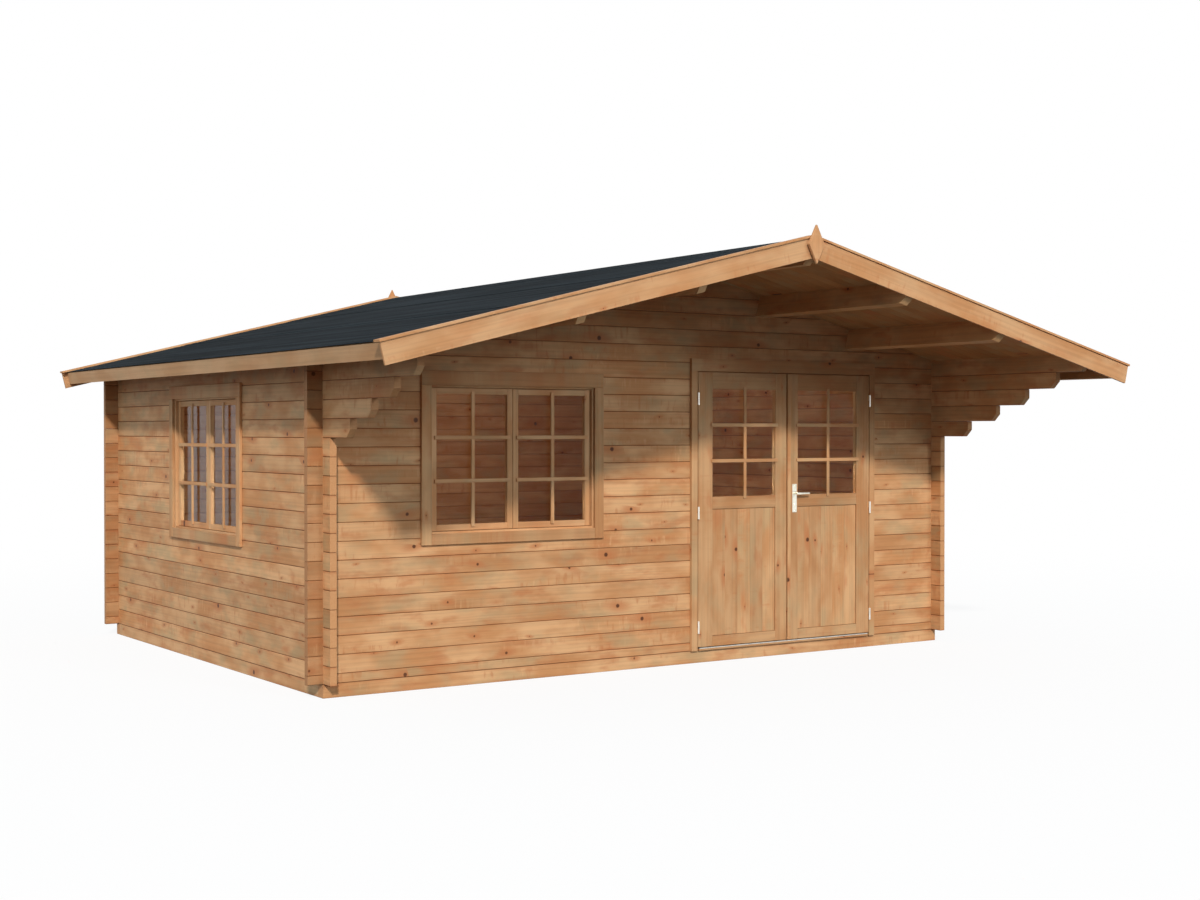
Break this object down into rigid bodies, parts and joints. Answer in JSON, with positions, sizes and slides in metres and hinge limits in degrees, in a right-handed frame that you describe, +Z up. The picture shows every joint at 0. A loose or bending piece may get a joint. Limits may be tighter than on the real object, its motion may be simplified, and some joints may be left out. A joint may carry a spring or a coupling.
{
  "type": "log cabin",
  "caption": "Garden log cabin with interlocked log walls, a low gabled felt roof reaching forward as a canopy on stepped corbels, glazed double doors and double casement windows.",
  "frame": {"origin": "on the ground, under the middle of the whole cabin with its roof trim", "axes": "+Z up, the entrance faces -Y, +X to the right as seen from the entrance side, along the entrance wall"},
  "size_m": [5.855, 5.6976, 2.8603],
  "materials": {
    "log_wood": "planed softwood, stained honey brown",
    "trim_wood": "planed softwood boards, stained tan",
    "door_wood": "planed softwood, stained",
    "window_wood": "planed softwood, stained",
    "roof_wood": "planed softwood, stained",
    "beam_wood": "sawn softwood, stained",
    "floor_wood": "planed softwood boards",
    "felt": "matt bitumen roofing felt",
    "glass": "clear float glass",
    "hinge_steel": "zinc plated",
    "handle_steel": "satin",
    "threshold_metal": "mill finish"
  },
  "bodies": {
    "cabin": {"back_cover_strips": "trim_wood", "back_finial": "trim_wood", "back_left_barge": "trim_wood", "back_logs": "log_wood", "back_right_barge": "trim_wood", "door_head": "door_wood", "door_jamb_left": "door_wood", "door_jamb_right": "door_wood", "door_threshold": "threshold_metal", "floor_deck": "floor_wood", "floor_joists": "beam_wood", "foundation_back": "beam_wood", "foundation_front": "beam_wood", "foundation_left": "beam_wood", "foundation_right": "beam_wood", "front_cover_strips": "trim_wood", "front_finial": "trim_wood", "front_gable": "log_wood", "front_left_barge": "trim_wood", "front_logs_high": "log_wood", "front_logs_left": "log_wood", "front_logs_low": "log_wood", "front_logs_mid": "log_wood", "front_logs_right": "log_wood", "front_right_barge": "trim_wood", "front_window_casing": "window_wood", "front_window_frame": "window_wood", "front_window_glass": "glass", "hinge_pins": "hinge_steel", "left_corbels": "log_wood", "left_eaves_board": "trim_wood", "left_logs_back": "log_wood", "left_logs_front": "log_wood", "left_logs_low": "log_wood", "left_purlin_lower": "roof_wood", "left_purlin_upper": "roof_wood", "left_roof_deck": "roof_wood", "left_window_casing": "window_wood", "left_window_frame": "window_wood", "left_window_glass": "glass", "ridge_purlin": "roof_wood", "right_corbels": "log_wood", "right_eaves_board": "trim_wood", "right_logs": "log_wood", "right_purlin_lower": "roof_wood", "right_purlin_upper": "roof_wood", "right_roof_deck": "roof_wood", "roof_felt": "felt"},
    "left_door": {"left_leaf_frame": "door_wood", "left_leaf_glass": "glass", "left_leaf_hinges": "hinge_steel", "left_leaf_panel": "door_wood"},
    "right_door": {"right_leaf_frame": "door_wood", "right_leaf_glass": "glass", "right_leaf_hinges": "hinge_steel", "right_leaf_panel": "door_wood", "handle_plates": "handle_steel"},
    "lever": {"handle_lever": "handle_steel"}
  },
  "joints": [
    {"name": "left_door_hinge", "type": "hinge", "parent": "cabin", "child": "left_door", "pos_m": [0.251, -1.3295, 1.041], "axis": [0, 0, -1], "range_deg": [0, 110]},
    {"name": "right_door_hinge", "type": "hinge", "parent": "cabin", "child": "right_door", "pos_m": [1.845, -1.3295, 1.041], "axis": [0, 0, 1], "range_deg": [0, 110]},
    {"name": "lever_turn", "type": "hinge", "parent": "right_door", "child": "lever", "pos_m": [1.118, -1.302, 1.16], "axis": [0, 1, 0], "range_deg": [0, 40]}
  ]
}
